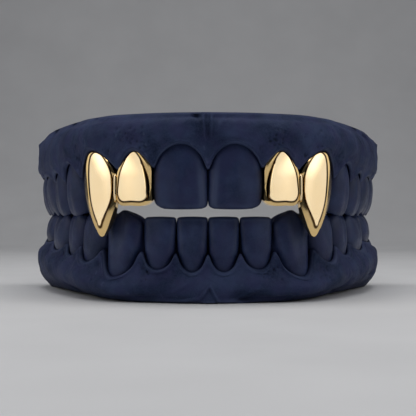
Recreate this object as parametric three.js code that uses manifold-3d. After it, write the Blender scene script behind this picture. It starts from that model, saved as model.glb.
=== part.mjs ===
// Two gold vampire fang caps on the dental display model that carries them.
// An upper and a lower jaw are closed on each other. Each jaw is a horseshoe of gum with fourteen
// teeth set in sockets, and each gold cap is a hollow shell over an upper lateral incisor and canine.
// Millimetres, +Z up, the front teeth face -Y. Left and right are as seen from the front.

import * as THREE from "three";
import { mergeVertices } from "three/addons/utils/BufferGeometryUtils.js";
import Module from "manifold-3d";

const wasm = await Module();
wasm.setup();

// Jaws. Heights are measured away from the biting plane: upwards in the upper jaw, downwards in
// the lower one. The arch line runs through the contact points of the teeth, from the midline back:
// y = depth * (x / halfWidth) ^ power.
const upperHeight = 16.3;
const lowerHeight = 14.2;
const overjet = 2.5; // the lower front teeth stand this far behind the upper ones
const upperArch = { halfWidth: 28.3, depth: 29.5, power: 3.5 };
const lowerArch = { halfWidth: 26.6, depth: 25.5, power: 3.4 };

// Clearances
const contactGap = 0.15; // between neighbouring teeth or caps
const socketGap = 0.25; // around a tooth in the gum
const capFit = 0.25; // between a tooth and the cap over it
const capGumGap = 0.35; // between a cap's edge and the gum

// Gum
const rootDepth = 2.4; // a tooth's peg below its neck
const rootTaper = { width: 0.8, front: 0.3 }; // the peg's end, as shares of the neck
const lipThickness = 0.4; // rolled edge of the gum on the tooth's face
const frontGumBulge = 1.3; // fullness of the gum beyond the front teeth's faces
const gumBulge = { upper: 0.8, lower: 1.6 }; // and beyond the last molar's
const papillaHollow = 0.5; // the gum is less full by this much between the teeth
const rimLean = { front: 0.2, back: 0.9 }; // the gum leans in from its fullest part to the rim
const baseChamfer = { front: 0.8, back: 2.8 }; // trimmed edge round the flat base
const frontShare = 0.4; // share of the arch over which lean and trim grow from front to back
const ridgeBehind = { front: 8.6, back: 10.0 }; // gum behind the arch line, at the midline and last molar
const heelLength = 4.2; // gum behind the last molar

// Gold caps
const capWall = 0.5;
const plateRise = 0.4; // raised plate on the front of each cap
const lateralCapEdge = 1.6; // height of the lateral cap's cutting edge
const fangTip = -3.5; // height of the fang's tip, past the biting plane
const fangLean = 0.9; // the tip leans this far towards the midline
const fangTipFront = 1.2; // the tip stands this far before the arch line
const bridge = { radius: 0.85, top: 6.9, bottom: 2.2, forward: 0.2 }; // bar soldered between the two caps

// Teeth from the midline back. width is along the arch, front and behind are the crown's reach
// before and behind the arch line, tip and gum are the heights of its tip and of its gum edge,
// papilla is the height of the gum point between it and the next tooth, and lean is how much
// further back along the arch its neck stands than its tip.
const upperTeeth = [
  { name: "central", width: 8.5, front: 1.7, behind: 4.4, tip: 1.0, gum: 11.4, papilla: 7.2, lean: 0 },
  { name: "lateral", width: 6.6, front: 1.4, behind: 3.9, tip: 2.6, gum: 10.4, papilla: 7.1, lean: 0 },
  { name: "canine", width: 7.4, front: 2.0, behind: 4.6, tip: 1.4, gum: 10.6, papilla: 5.8, lean: 0 },
  { name: "premolar_1", width: 6.9, front: 2.5, behind: 5.6, tip: -0.2, gum: 8.7, papilla: 5.4, lean: 0 },
  { name: "premolar_2", width: 6.9, front: 2.6, behind: 5.8, tip: -0.2, gum: 7.4, papilla: 5.6, lean: 0 },
  { name: "molar_1", width: 10.2, front: 2.9, behind: 7.2, tip: -0.15, gum: 7.1, papilla: 6.0, lean: 0 },
  { name: "molar_2", width: 9.4, front: 2.8, behind: 7.0, tip: -0.15, gum: 7.2, papilla: 6.6, lean: 0 },
];
const lowerTeeth = [
  { name: "central", width: 5.1, front: 1.5, behind: 3.6, tip: 0.35, gum: 9.1, papilla: 5.9, lean: 0 },
  { name: "lateral", width: 5.3, front: 1.5, behind: 3.8, tip: 0.35, gum: 8.7, papilla: 5.7, lean: 0.2 },
  { name: "canine", width: 6.9, front: 2.0, behind: 4.4, tip: -0.7, gum: 10.0, papilla: 5.4, lean: 0.8 },
  { name: "premolar_1", width: 6.8, front: 2.3, behind: 4.9, tip: -0.4, gum: 7.8, papilla: 5.1, lean: 0.5 },
  { name: "premolar_2", width: 6.8, front: 2.3, behind: 5.2, tip: -0.4, gum: 6.9, papilla: 5.0, lean: 0.3 },
  { name: "molar_1", width: 10.9, front: 2.9, behind: 6.8, tip: -0.35, gum: 6.7, papilla: 4.8, lean: 0 },
  { name: "molar_2", width: 10.1, front: 3.0, behind: 6.8, tip: -0.35, gum: 6.3, papilla: 4.6, lean: 0 },
];
const upperMidPapilla = 7.7;
const lowerMidPapilla = 5.9;

const forms = {
  central: "incisor",
  lateral: "incisor",
  canine: "canine",
  premolar_1: "premolar",
  premolar_2: "premolar",
  molar_1: "molar",
  molar_2: "molar",
};

// Levels of each form of crown, from the neck (rise 0) to the tip (rise 1), as shares of its sizes.
const crownLevels = {
  incisor: [
    { rise: 0, width: 0.7, front: 0.82, behind: 0.96 },
    { rise: 0.3, width: 0.92, front: 1, behind: 0.9 },
    { rise: 0.62, width: 1, front: 0.96, behind: 0.5 },
    { rise: 0.95, width: 0.97, front: 0.72, behind: 0.1 },
    { rise: 1, width: 0.86, front: 0.55, behind: 0 },
  ],
  canine: [
    { rise: 0, width: 0.66, front: 0.84, behind: 0.96 },
    { rise: 0.3, width: 0.9, front: 1, behind: 0.9 },
    { rise: 0.6, width: 1, front: 0.98, behind: 0.55 },
    { rise: 0.8, width: 0.8, front: 0.82, behind: 0.25 },
    { rise: 1, width: 0.22, front: 0.5, behind: 0 },
  ],
  premolar: [
    { rise: 0, width: 0.72, front: 0.84, behind: 0.9 },
    { rise: 0.3, width: 0.92, front: 1, behind: 1 },
    { rise: 0.62, width: 1, front: 0.92, behind: 0.96 },
    { rise: 1, width: 0.6, front: 0.42, behind: 0.6 },
  ],
  molar: [
    { rise: 0, width: 0.84, front: 0.88, behind: 0.92 },
    { rise: 0.3, width: 0.97, front: 1, behind: 1 },
    { rise: 0.62, width: 1, front: 0.9, behind: 0.96 },
    { rise: 1, width: 0.72, front: 0.5, behind: 0.74 },
  ],
};

// Biting surfaces: cusps is their number round the crown, valley is how far the grooves between
// them and pit how far the middle lies below the tips, as shares of the crown's height.
const bitingSurfaces = {
  incisor: { cusps: 0, valley: 0, pit: 0 },
  canine: { cusps: 0, valley: 0, pit: 0 },
  premolar: { cusps: 2, valley: 0.2, pit: 0.26 },
  molar: { cusps: 4, valley: 0.14, pit: 0.3 },
};

// A level's oval: the blunter its front and back, the higher their roundness, and the back is
// narrower than the front by the taper.
const oval = { frontRoundness: 2.5, backRoundness: 2.1, taper: 0.22 };

// Section of the gum. On the outside, full runs from the tooth's face (0) to the fullest part (1).
// On the inside, back runs from the arch line (0) to the inner wall (1). up runs from the gum's edge
// to the base, and the inner edge lies between the papilla and the edge on the tooth's face.
const outerSection = [
  { full: 0, up: 0 },
  { full: 0.7, up: 0.15 },
  { full: 1, up: 0.47 },
];
const innerSection = [
  { back: 0.94, up: 1 },
  { back: 0.96, up: 0.4 },
  { back: 0.84, up: 0 },
];
const crest = { back: 0.4, height: 0.5 }; // top of the ridge behind the teeth
const innerEdge = 0.45;

// The gum's edge over a tooth is an arc over this share of its width, and the face it lies on is round.
const gumArc = 0.92;
const neckRoundness = 2.5;
const gumStations = [-0.98, -0.74, -0.32, 0.32, 0.74]; // sections over a tooth, from -1 to 1

// The heels close towards a middle point: reach is a share of the heel's length.
const heelMiddle = { back: 0.42, up: 0.55 };
const heelStations = [
  { reach: 0, shrink: 0 },
  { reach: 0.6, shrink: 0.12 },
  { reach: 1, shrink: 0.45 },
];

// Outsides of the two gold caps, from the gum (rise 0) to the edge or tip (rise 1). A behind below
// zero lies before the arch line, where the fang passes in front of the lower teeth.
const lateralCapLevels = [
  { rise: -0.12, width: 0.5, front: 0.85, behind: 0.9 },
  { rise: 0.06, width: 0.76, front: 0.95, behind: 0.95 },
  { rise: 0.35, width: 0.95, front: 1, behind: 0.9 },
  { rise: 0.7, width: 1, front: 0.97, behind: 0.6 },
  { rise: 0.93, width: 0.99, front: 0.88, behind: 0.36 },
  { rise: 1, width: 0.93, front: 0.75, behind: 0.28 },
];
const fangLevels = [
  { rise: -0.1, width: 0.42, front: 0.84, behind: 0.84 },
  { rise: 0.05, width: 0.7, front: 0.95, behind: 0.9 },
  { rise: 0.24, width: 0.96, front: 1, behind: 0.9 },
  { rise: 0.45, width: 0.98, front: 1, behind: 0.6 },
  { rise: 0.62, width: 0.86, front: 0.97, behind: 0.3 },
  { rise: 0.74, width: 0.62, front: 0.93, behind: -0.06 },
  { rise: 0.88, width: 0.33, front: 0.82, behind: -0.08 },
  { rise: 0.98, width: 0.1, front: 0.66, behind: -0.14 },
];

// Outlines of the raised plates: near and far are the reach towards the midline and away from it,
// as shares of half the cap's width, and rise is as above.
const lateralPlate = [
  { near: 0, far: 0, rise: 0.02 },
  { near: 0.4, far: 0.44, rise: 0.14 },
  { near: 0.6, far: 0.74, rise: 0.36 },
  { near: 0.7, far: 0.86, rise: 0.62 },
  { near: 0.72, far: 0.86, rise: 0.84 },
  { near: 0.6, far: 0.72, rise: 0.9 },
];
const fangPlate = [
  { near: 0, far: 0, rise: 0.01 },
  { near: 0.46, far: 0.34, rise: 0.09 },
  { near: 0.8, far: 0.58, rise: 0.24 },
  { near: 0.94, far: 0.6, rise: 0.42 },
  { near: 0.76, far: 0.5, rise: 0.58 },
  { near: 0.42, far: 0.32, rise: 0.74 },
  { near: 0, far: 0, rise: 0.9 },
];

const toothPoints = 10; // points round each level of a tooth
const capPoints = 12; // and of a cap
const barSides = 8;
const archSteps = 140; // steps of the arch line, each this share of its half width
const archStep = 0.01;
const weldDistance = 1e-4;
const halfTurn = Math.PI;

const goldMaterial = new THREE.MeshStandardMaterial({ color: 0xe8c27a, roughness: 0.15, metalness: 1 });
const gumMaterial = new THREE.MeshStandardMaterial({ color: 0x1d2136, roughness: 0.8, metalness: 0 });
const toothMaterial = new THREE.MeshStandardMaterial({ color: 0x20253d, roughness: 0.7, metalness: 0 });

const mix = (a, b, share) => a + (b - a) * share;

// Each jaw with its direction away from the biting plane and where its teeth stand on the arch.
const biteZ = lowerHeight;
const upperJaw = makeJaw("upper", 1, upperArch, 0, upperHeight, upperTeeth, upperMidPapilla);
const lowerJaw = makeJaw("lower", -1, lowerArch, overjet, lowerHeight, lowerTeeth, lowerMidPapilla);

function makeJaw(name, up, arch, setBack, height, teeth, midPapilla) {
  const jaw = { name, up, height, line: archLine(arch, setBack), spans: [], length: 0 };
  let before = midPapilla;
  for (const tooth of teeth) {
    const centre = jaw.length + tooth.width / 2;
    jaw.spans.push({ tooth, start: jaw.length, centre, neck: centre + tooth.lean, before });
    jaw.length += tooth.width;
    before = tooth.papilla;
  }
  return jaw;
}

// The arch line as points with their distance from the midline, for the right half.
function archLine(arch, setBack) {
  const line = [];
  let run = 0;
  for (let i = 0; i < archSteps; i++) {
    const x = i * archStep * arch.halfWidth;
    const y = setBack + arch.depth * (x / arch.halfWidth) ** arch.power;
    if (i) run += Math.hypot(x - line[i - 1].x, y - line[i - 1].y);
    line.push({ x, y, run });
  }
  return line;
}

// Place and direction of the arch at a distance from the midline; the left half is mirrored.
function onArch(jaw, distance) {
  const side = distance < 0 ? -1 : 1;
  const run = Math.abs(distance);
  let i = 1;
  while (i < jaw.line.length - 1 && jaw.line[i].run < run) i++;
  const [a, b] = [jaw.line[i - 1], jaw.line[i]];
  const share = (run - a.run) / (b.run - a.run);
  const turn = Math.atan2(b.y - a.y, b.x - a.x);
  return { x: side * mix(a.x, b.x, share), y: mix(a.y, b.y, share), turn: side * turn };
}

const heightToZ = (jaw, height) => biteZ + jaw.up * height;

// A closed surface through rings of points, from the first ring's middle to an end point.
function loft(rings, endPoint) {
  const count = rings[0].length;
  const middle = (ring) => ring.reduce((sum, p) => sum.add(p), new THREE.Vector3()).divideScalar(count);
  const points = [...rings.flat(), middle(rings[0]), endPoint ?? middle(rings.at(-1))];
  const startIndex = rings.length * count;
  const faces = [];
  for (let r = 0; r < rings.length; r++)
    for (let i = 0; i < count; i++) {
      const a = r * count + i;
      const b = r * count + ((i + 1) % count);
      if (r === 0) faces.push([startIndex, b, a]);
      if (r === rings.length - 1) faces.push([startIndex + 1, a, b]);
      else faces.push([a, b, a + count], [b, b + count, a + count]);
    }
  const geometry = new THREE.BufferGeometry().setFromPoints(points);
  geometry.setIndex(faces.flat());
  return facingOut(geometry);
}

// Turns every face round if the surface encloses a negative volume.
function facingOut(geometry) {
  const [p, index] = [geometry.attributes.position, geometry.index.array];
  const corner = (i) => new THREE.Vector3().fromBufferAttribute(p, index[i]);
  let volume = 0;
  for (let i = 0; i < index.length; i += 3) volume += corner(i).dot(corner(i + 1).cross(corner(i + 2)));
  if (volume > 0) return geometry;
  for (let i = 0; i < index.length; i += 3) [index[i], index[i + 1]] = [index[i + 1], index[i]];
  return geometry;
}

// One level of a crown: an oval that is widest at the arch line, or at its back where that lies
// before the line, and blunt at the front.
function crownRing({ width, front, behind, z, lean = 0, dip = () => 0, points = toothPoints }) {
  const ring = [];
  const widest = Math.min(0, behind);
  for (let i = 0; i < points; i++) {
    const angle = (2 * halfTurn * i) / points;
    const [c, s] = [Math.cos(angle), Math.sin(angle)];
    const isBack = s > 0;
    const power = 2 / (isBack ? oval.backRoundness : oval.frontRoundness);
    const share = Math.abs(s) ** power;
    const narrow = isBack ? 1 - oval.taper * share : 1;
    const x = (width / 2) * Math.sign(c) * Math.abs(c) ** power * narrow;
    const y = isBack ? widest + share * (behind - widest) : widest - share * (front + widest);
    ring.push(new THREE.Vector3(x - lean, y, z + dip(angle)));
  }
  return ring;
}

// A crown with its root peg, grown by a clearance, in the tooth's own place on the arch.
function toothGeometry(jaw, tooth, width, grow = 0) {
  const crown = tooth.gum - tooth.tip;
  const surface = bitingSurfaces[forms[tooth.name]];
  const levels = crownLevels[forms[tooth.name]];
  const at = (level) => ({
    width: width * level.width + 2 * grow,
    front: tooth.front * level.front + grow,
    behind: tooth.behind * level.behind + grow,
    lean: -tooth.lean * (1 - level.rise),
    z: heightToZ(jaw, tooth.gum - crown * level.rise - (level.rise === 1 ? grow : 0)),
  });
  const neck = at(levels[0]);
  const rootEnd = {
    ...neck,
    width: neck.width * rootTaper.width,
    front: neck.front * rootTaper.front,
    z: heightToZ(jaw, tooth.gum + rootDepth + grow),
  };
  const top = at(levels.at(-1));
  const dip = (angle) => jaw.up * crown * surface.valley * cuspDip(surface.cusps, angle);
  const sides = levels.slice(0, -1).map((level) => crownRing(at(level)));
  const pit = new THREE.Vector3(0, (top.behind - top.front) / 2, top.z + jaw.up * crown * surface.pit);
  return loft([crownRing(rootEnd), ...sides, crownRing({ ...top, dip })], pit);
}

// 0 at a cusp and 1 in the groove between two: cusps stand at the corners, or front and back.
const cuspDip = (cusps, angle) => (cusps ? (1 + Math.cos(cusps * angle)) / 2 : 0);

// Width that a tooth takes in its place on the arch: less where a cap goes round it.
function toothWidth(jaw, tooth) {
  const isCapped = jaw === upperJaw && ["lateral", "canine"].includes(tooth.name);
  return tooth.width - contactGap - (isCapped ? 2 * (capWall + capFit) : 0);
}

// The gum over a point of the arch: the tooth there, how low the edge has dropped from its top (0)
// to the papilla (1), the edge's height, and how far before the arch line the tooth's face stands.
function gumAt(jaw, distance) {
  const run = Math.min(Math.abs(distance), jaw.length);
  const span = jaw.spans.find((s) => run < s.start + s.tooth.width) ?? jaw.spans.at(-1);
  const { tooth, start, neck } = span;
  const share = run < neck ? (neck - run) / (neck - start) : (run - neck) / (start + tooth.width - neck);
  const papilla = run < neck ? span.before : tooth.papilla;
  const drop = 1 - Math.sqrt(1 - Math.min(1, share / gumArc) ** 2);
  const neckFront = tooth.front * crownLevels[forms[tooth.name]][0].front;
  const face = neckFront * Math.sqrt(Math.max(0, 1 - share ** neckRoundness));
  return { tooth, papilla, drop, edge: mix(tooth.gum, papilla, drop), face };
}

// One section across the gum, from the edge on the teeth's faces round the base to the back.
function gumRing(jaw, distance, shrink, grow) {
  const { tooth, papilla, drop, edge, face } = gumAt(jaw, distance);
  const wayBack = Math.min(1, Math.abs(distance) / jaw.length);
  const trim = Math.min(1, wayBack / frontShare);
  const back = mix(ridgeBehind.front, ridgeBehind.back, wayBack);
  const lip = face + lipThickness + grow;
  const bulge = mix(frontGumBulge, gumBulge[jaw.name], wayBack) - papillaHollow * drop;
  const full = tooth.front + bulge + grow;
  const base = jaw.height;
  const chamfer = mix(baseChamfer.front, baseChamfer.back, trim);
  const rim = full - mix(rimLean.front, rimLean.back, trim);
  const backEdge = mix(papilla, edge, innerEdge);
  const outline = [
    ...outerSection.map((row) => [mix(lip, full, row.full), mix(edge, base, row.up) - (row.up ? 0 : grow)]),
    [rim, base - chamfer],
    [rim - chamfer, base],
    ...innerSection.map((row) => [-back * row.back, mix(backEdge, base, row.up) - (row.up ? 0 : grow)]),
    [-back * crest.back, mix(Math.min(backEdge, edge), edge, crest.height) - grow],
  ];
  const [middleOut, middleHeight] = [-back * heelMiddle.back, mix(backEdge, base, heelMiddle.up)];
  const { x, y, turn } = onArch(jaw, distance);
  return outline.map(([out, height]) => {
    const o = mix(out, middleOut, shrink);
    const h = height === base ? base : mix(height, middleHeight, shrink);
    return new THREE.Vector3(x + Math.sin(turn) * o, y - Math.cos(turn) * o, heightToZ(jaw, h));
  });
}

// The gum's sweep from heel to heel.
function gumGeometry(jaw, grow = 0) {
  const stations = [];
  for (const { tooth, start, neck } of jaw.spans)
    for (const share of gumStations) {
      const reach = share < 0 ? neck - start : start + tooth.width - neck;
      stations.push({ at: neck + share * reach, shrink: 0 });
    }
  for (const { reach, shrink } of heelStations)
    stations.push({ at: jaw.length + reach * heelLength, shrink });
  const left = stations.map(({ at, shrink }) => ({ at: -at, shrink })).reverse();
  return loft([...left, ...stations].map(({ at, shrink }) => gumRing(jaw, at, shrink, grow)));
}

// Joining and cutting
function merged(geometry) {
  const bare = new THREE.BufferGeometry();
  bare.setAttribute("position", geometry.attributes.position);
  if (geometry.index) bare.setIndex(geometry.index);
  return mergeVertices(bare, weldDistance);
}

function toSolid(geometry) {
  const { attributes, index } = merged(geometry);
  const vertProperties = new Float32Array(attributes.position.array);
  const triVerts = new Uint32Array(index.array);
  return new wasm.Manifold(new wasm.Mesh({ numProp: 3, vertProperties, triVerts }));
}

function toGeometry(solid) {
  const { vertProperties, triVerts } = solid.getMesh();
  const geometry = new THREE.BufferGeometry();
  geometry.setAttribute("position", new THREE.BufferAttribute(vertProperties, 3));
  geometry.setIndex(new THREE.BufferAttribute(triVerts, 1));
  return geometry;
}

const subtractAll = (solid, cutters) => cutters.reduce((left, cutter) => left.subtract(cutter), solid);

// Slivers left by trimming are dropped.
function largest(solid) {
  return solid.decompose().reduce((best, next) => (next.volume() > best.volume() ? next : best));
}

// A piece's own frame on the arch: +X back along the arch, -Y out of the mouth.
function placeOnArch(object, jaw, distance) {
  const place = onArch(jaw, distance);
  object.position.set(place.x, place.y, 0);
  object.rotation.z = place.turn;
  object.updateMatrix();
  return object;
}

function inJawFrame(geometry, jaw, distance, side = 1) {
  const frame = placeOnArch(new THREE.Object3D(), jaw, distance).matrix.clone();
  if (side < 0) frame.premultiply(new THREE.Matrix4().makeScale(-1, 1, 1));
  return facingOut(geometry.clone().applyMatrix4(frame));
}

function namedMesh(name, geometry, material) {
  const mesh = new THREE.Mesh(geometry, material);
  mesh.name = name;
  return mesh;
}

// Gum with a socket cut for each tooth.
function makeGum(jaw) {
  const sockets = [];
  for (const { tooth, centre } of jaw.spans)
    for (const side of [1, -1]) {
      const grown = toothGeometry(jaw, tooth, toothWidth(jaw, tooth), socketGap);
      sockets.push(toSolid(inJawFrame(grown, jaw, centre, side)));
    }
  const gum = subtractAll(toSolid(gumGeometry(jaw)), sockets);
  return namedMesh(jaw.name + "_gum", toGeometry(gum), gumMaterial);
}

function makeTeeth(jaw, sideName) {
  const teeth = new THREE.Group();
  for (const { tooth, centre } of jaw.spans) {
    const geometry = toothGeometry(jaw, tooth, toothWidth(jaw, tooth));
    const mesh = namedMesh(`${jaw.name}_${tooth.name}_${sideName}`, geometry, toothMaterial);
    teeth.add(placeOnArch(mesh, jaw, centre));
  }
  return teeth;
}

// Sizes that the outside of a cap and the plate on it share.
function capSizes({ tooth, edge, pointed }) {
  return {
    half: (tooth.width - contactGap) / 2,
    front: tooth.front + capFit + capWall,
    behind: tooth.behind + capFit + capWall,
    z: (rise) => heightToZ(upperJaw, mix(tooth.gum, edge, rise)),
    lean: (rise) => (pointed ? fangLean * Math.max(0, rise) : 0),
  };
}

// The outside of one cap, with its face moved out by a rise, in its tooth's own frame.
function capBody(cap, faceRise = 0) {
  const { half, front, behind, z, lean } = capSizes(cap);
  const at = (level) => ({
    width: 2 * half * level.width,
    front: front * level.front + faceRise,
    behind: behind * level.behind,
    lean: lean(level.rise),
    z: z(level.rise),
    points: capPoints,
  });
  const tip = cap.pointed ? new THREE.Vector3(-lean(1), -fangTipFront, z(1)) : undefined;
  const rings = cap.levels.map((level) => crownRing(at(level)));
  return toSolid(loft(rings, tip));
}

// A plate: the raised face of the cap inside an outline.
function capPlate(cap) {
  const { half, front, z, lean } = capSizes(cap);
  const corner = (across, rise) => new THREE.Vector2(across * half - lean(rise), z(rise));
  const farSide = cap.plate.map(({ far, rise }) => corner(far, rise));
  const nearRows = cap.plate.filter(({ near }) => near > 0).reverse();
  const outline = new THREE.Shape([...farSide, ...nearRows.map(({ near, rise }) => corner(-near, rise))]);
  const prism = new THREE.ExtrudeGeometry(outline, { depth: front + 2 * plateRise, bevelEnabled: false });
  prism.rotateX(halfTurn / 2);
  return toSolid(facingOut(merged(prism))).intersect(capBody(cap, plateRise));
}

function bridgeBar() {
  const bar = new THREE.CylinderGeometry(bridge.radius, bridge.radius, bridge.top - bridge.bottom, barSides);
  bar.rotateX(halfTurn / 2);
  bar.translate(0, -bridge.forward, heightToZ(upperJaw, (bridge.top + bridge.bottom) / 2));
  return merged(bar);
}

// The double cap: lateral cap, fang and soldered bar, hollowed by its teeth and trimmed at the gum.
function makeCap(sideName) {
  const spanOf = (name) => upperJaw.spans.find(({ tooth }) => tooth.name === name);
  const lateral = { levels: lateralCapLevels, edge: lateralCapEdge, pointed: false, plate: lateralPlate };
  const fang = { levels: fangLevels, edge: fangTip, pointed: true, plate: fangPlate };
  const caps = [
    { ...spanOf("lateral"), ...lateral },
    { ...spanOf("canine"), ...fang },
  ];
  const inJaw = (solid, distance) => toSolid(inJawFrame(toGeometry(solid), upperJaw, distance));
  const pieces = [toSolid(inJawFrame(bridgeBar(), upperJaw, spanOf("canine").start))];
  const cutters = [toSolid(gumGeometry(upperJaw, capGumGap))];
  for (const cap of caps) {
    pieces.push(inJaw(capBody(cap), cap.centre), inJaw(capPlate(cap), cap.centre));
    const grown = toothGeometry(upperJaw, cap.tooth, toothWidth(upperJaw, cap.tooth), capFit);
    cutters.push(toSolid(inJawFrame(grown, upperJaw, cap.centre)));
  }
  const outside = pieces.reduce((whole, piece) => whole.add(piece));
  const cap = largest(subtractAll(outside, cutters));
  return namedMesh("fang_cap_" + sideName, toGeometry(cap), goldMaterial);
}

function makeHalf(sideName, side) {
  const half = new THREE.Group();
  half.add(makeTeeth(upperJaw, sideName), makeTeeth(lowerJaw, sideName), makeCap(sideName));
  half.scale.x = side;
  return half;
}

const model = new THREE.Group();
model.add(makeGum(upperJaw), makeGum(lowerJaw), makeHalf("right", 1), makeHalf("left", -1));

// The origin is under the middle of the model, on the flat base.
const box = new THREE.Box3().setFromObject(model);
model.position.set(0, -(box.min.y + box.max.y) / 2, -box.min.z);

export default model;
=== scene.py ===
import math
import random

import bpy
import numpy as np
from mathutils import Matrix, Vector, noise
from mathutils.kdtree import KDTree


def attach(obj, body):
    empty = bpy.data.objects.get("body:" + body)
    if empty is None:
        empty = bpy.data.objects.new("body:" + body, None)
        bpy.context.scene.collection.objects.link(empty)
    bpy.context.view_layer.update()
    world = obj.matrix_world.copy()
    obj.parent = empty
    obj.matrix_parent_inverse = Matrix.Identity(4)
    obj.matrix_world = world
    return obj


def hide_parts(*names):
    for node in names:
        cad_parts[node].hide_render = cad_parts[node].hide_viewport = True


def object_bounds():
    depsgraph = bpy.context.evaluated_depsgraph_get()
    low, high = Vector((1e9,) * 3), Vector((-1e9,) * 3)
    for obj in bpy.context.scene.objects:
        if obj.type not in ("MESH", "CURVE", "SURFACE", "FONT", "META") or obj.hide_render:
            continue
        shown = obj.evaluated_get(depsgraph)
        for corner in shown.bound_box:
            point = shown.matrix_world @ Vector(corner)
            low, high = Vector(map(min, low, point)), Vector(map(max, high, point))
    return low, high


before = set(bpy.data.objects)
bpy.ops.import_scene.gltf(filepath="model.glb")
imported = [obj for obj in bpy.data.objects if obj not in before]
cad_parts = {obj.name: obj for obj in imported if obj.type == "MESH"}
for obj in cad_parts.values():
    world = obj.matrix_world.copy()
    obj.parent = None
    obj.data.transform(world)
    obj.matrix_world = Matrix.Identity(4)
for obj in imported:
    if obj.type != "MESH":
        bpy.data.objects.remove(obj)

cadLow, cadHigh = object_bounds()
print("frame loaded:", len(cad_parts), "nodes")

mm = 0.001
biteHeight = 14.2     # biting plane over the flat base, in mm
archFront = -21.074   # the arch line's foremost point in the frame, in mm

# camera: level with the bite, close in front, with the photo's field of view
camera = {"distance": 0.1544, "faceY": -0.02277, "height": 0.0142, "focalPixels": 976, "tiltPixels": 7,
          "frame": 416, "sensor": 36, "clipStart": 0.01}
cameraData = bpy.data.cameras.new("photoCamera")
cameraData.sensor_width = camera["sensor"]
cameraData.lens = camera["sensor"] * camera["focalPixels"] / camera["frame"]
cameraData.clip_start = camera["clipStart"]
photoCamera = bpy.data.objects.new("photoCamera", cameraData)
photoCamera.location = (0, camera["faceY"] - camera["distance"], camera["height"])
photoCamera.rotation_euler = (math.pi / 2 + camera["tiltPixels"] / camera["focalPixels"], 0, 0)
bpy.context.scene.collection.objects.link(photoCamera)
bpy.context.scene.camera = photoCamera


# small helpers
def mix(a, b, share):
    return a + (b - a) * share


def ramp(value, length):  # 0 up to 1 over a length
    return np.clip(value / length, 0, 1)


def bell(value):
    return np.exp(-value ** 2)


def easeCurve(xs, ys, x):  # smooth curve through a table's values that never overshoots them
    xs, ys = np.asarray(xs, float), np.asarray(ys, float)
    step = np.diff(ys) / np.diff(xs)
    slope = np.concatenate([step[:1], np.zeros(len(xs) - 2), step[-1:]])
    rising = step[:-1] * step[1:] > 0
    slope[1:-1][rising] = 2 * (step[:-1] * step[1:])[rising] / (step[:-1] + step[1:])[rising]
    i = np.clip(np.searchsorted(xs, x, side="right") - 1, 0, len(xs) - 2)
    w = xs[i + 1] - xs[i]
    t = np.clip((x - xs[i]) / w, 0, 1)
    ends = (1 + 2 * t) * (1 - t) ** 2 * ys[i] + t * t * (3 - 2 * t) * ys[i + 1]
    return ends + w * t * (1 - t) * ((1 - t) * slope[i] - t * slope[i + 1])


def throughPoints(points, counts, corners=(), closed=False):
    # smooth line through rows of points (..., K, axes), with counts steps between two of them
    if closed:
        points = np.concatenate([points[..., -1:, :], points, points[..., :2, :]], axis=-2)
    step = np.diff(points, axis=-2)
    length = np.linalg.norm(step, axis=-1, keepdims=True) + 1e-9
    unit = step / length
    lean = unit[..., :-1, :] * length[..., 1:, :] + unit[..., 1:, :] * length[..., :-1, :]
    lean /= np.linalg.norm(lean, axis=-1, keepdims=True) + 1e-9
    last = points.shape[-2] - 2
    made = []
    for k in range(1, last) if closed else range(last + 1):
        count = counts if isinstance(counts, int) else counts[k]
        t = (np.arange(count) / count)[:, None]
        sharpStart = not closed and (k == 0 or k in corners)
        sharpEnd = not closed and (k == last or k + 1 in corners)
        startWay = (unit[..., k, :] if sharpStart else lean[..., k - 1, :]) * length[..., k, :]
        endWay = (unit[..., k, :] if sharpEnd else lean[..., k, :]) * length[..., k, :]
        a, b = points[..., k, None, :], points[..., k + 1, None, :]
        made.append((1 + 2 * t) * (1 - t) ** 2 * a + t * t * (3 - 2 * t) * b
                    + t * (1 - t) ** 2 * startWay[..., None, :] - t * t * (1 - t) * endWay[..., None, :])
    if not closed:
        made.append(points[..., -1:, :])
    return np.concatenate(made, axis=-2)


def softened(values, steps):  # rounds a row of values over some steps
    reach = np.arange(-3 * steps, 3 * steps + 1)
    weight = np.exp(-0.5 * (reach / steps) ** 2)
    padded = np.pad(values, 3 * steps, mode="edge")
    return np.convolve(padded, weight / weight.sum(), mode="valid")


def ringFaces(rows, columns, closeStart=None, closeEnd=None):
    # quads between closed rings of points, and fans to the end points
    i, j = np.meshgrid(np.arange(rows - 1), np.arange(columns), indexing="ij")
    a, b = i * columns + j, i * columns + (j + 1) % columns
    faces = np.stack([a, b, b + columns, a + columns], axis=-1).reshape(-1, 4).tolist()
    for k in range(columns):
        nextOne = (k + 1) % columns
        if closeStart is not None:
            faces.append([closeStart, nextOne, k])
        if closeEnd is not None:
            faces.append([closeEnd, (rows - 1) * columns + k, (rows - 1) * columns + nextOne])
    return faces


def makePiece(name, points, faces, material, sharpOver=None):
    mesh = bpy.data.meshes.new(name)
    mesh.from_pydata(np.asarray(points).tolist(), [], faces)
    mesh.materials.append(material)
    piece = bpy.data.objects.new(name, mesh)
    bpy.context.scene.collection.objects.link(piece)
    faceOut(mesh)
    shade(mesh, sharpOver)
    return piece


def faceOut(mesh):  # turns the faces round where the closed surface is inside out
    mesh.calc_loop_triangles()
    corners = np.zeros(len(mesh.vertices) * 3)
    mesh.vertices.foreach_get("co", corners)
    corners = corners.reshape(-1, 3)
    triangles = np.zeros(len(mesh.loop_triangles) * 3, dtype=int)
    mesh.loop_triangles.foreach_get("vertices", triangles)
    a, b, c = (corners[triangles.reshape(-1, 3)[:, k]] for k in range(3))
    if np.einsum("ij,ij->", a, np.cross(b, c)) < 0:
        mesh.flip_normals()


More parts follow.
